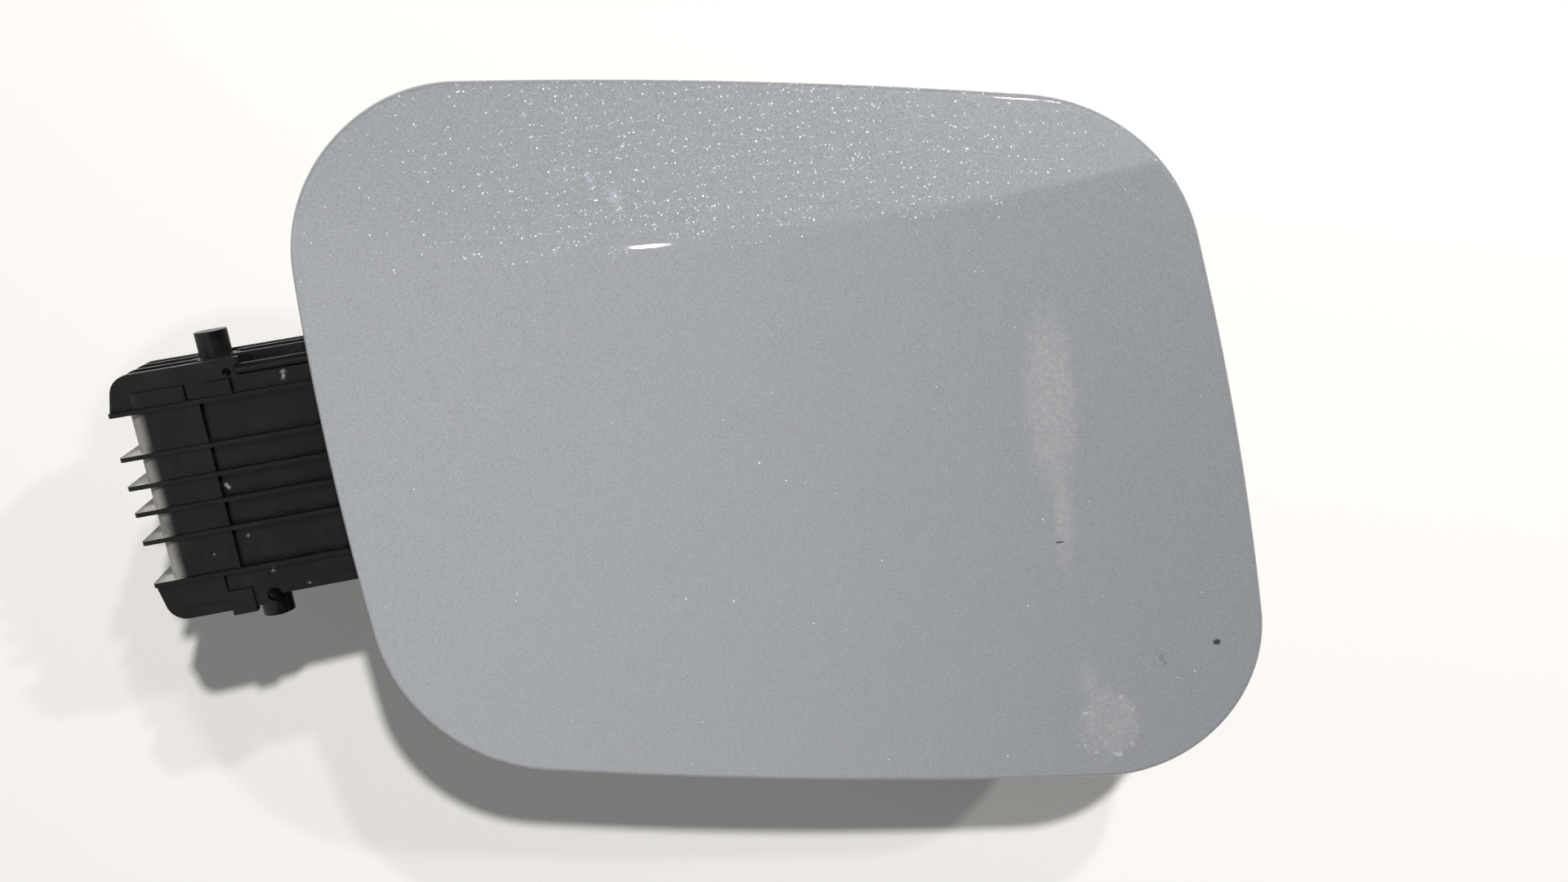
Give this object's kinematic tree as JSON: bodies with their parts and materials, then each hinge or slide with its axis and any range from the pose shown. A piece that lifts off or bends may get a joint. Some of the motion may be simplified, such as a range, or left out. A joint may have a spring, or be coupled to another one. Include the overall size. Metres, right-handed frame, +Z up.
{
  "type": "car fuel door",
  "caption": "Fuel door of a car: a creased metallic-painted lid on a swan-neck arm that turns in a black ribbed hinge housing with two snap-in studs.",
  "frame": {"origin": "on the hinge axis, at the shoulder of the upper stud, with the door closed", "axes": "the car's: +Z up, the painted face looks along -Y, +X runs from the hinge along the lid"},
  "size_m": [0.228, 0.064, 0.137],
  "materials": {
    "paint": "metallic base coat with clear coat",
    "carrier_plastic": "fine grained moulding",
    "arm_plastic": "glass-filled moulding",
    "housing_plastic": "dusty matt moulding",
    "pin_steel": "ground",
    "spring_steel": "blued strip",
    "zinc_steel": "zinc plated",
    "striker_steel": "zinc plated sheet",
    "rubber": "matt",
    "foam": "closed-cell foam"
  },
  "bodies": {
    "housing": {"hinge_housing": "housing_plastic", "hinge_pin": "pin_steel", "hold_spring": "spring_steel"},
    "door": {"lid_skin": "paint", "inner_carrier": "carrier_plastic", "swing_arm": "arm_plastic", "stop_buffer": "rubber", "arm_screws": "zinc_steel", "striker": "striker_steel", "striker_screws": "zinc_steel", "cap_holder": "carrier_plastic", "bump_stop_1": "rubber", "bump_stop_2": "rubber", "bump_stop_3": "rubber", "bump_stop_4": "rubber", "panel_clip_1": "spring_steel", "panel_clip_2": "spring_steel", "panel_clip_3": "spring_steel", "panel_clip_4": "spring_steel", "panel_clip_5": "spring_steel", "panel_clip_6": "spring_steel", "foam_pad_1": "foam", "foam_pad_2": "foam", "foam_pad_3": "foam", "foam_pad_4": "foam"}
  },
  "joints": [
    {"name": "door_swing", "type": "hinge", "parent": "housing", "child": "door", "pos_m": [0, 0, 0], "axis": [0.1495, 0, -0.9888], "range_deg": [0, 85]}
  ]
}
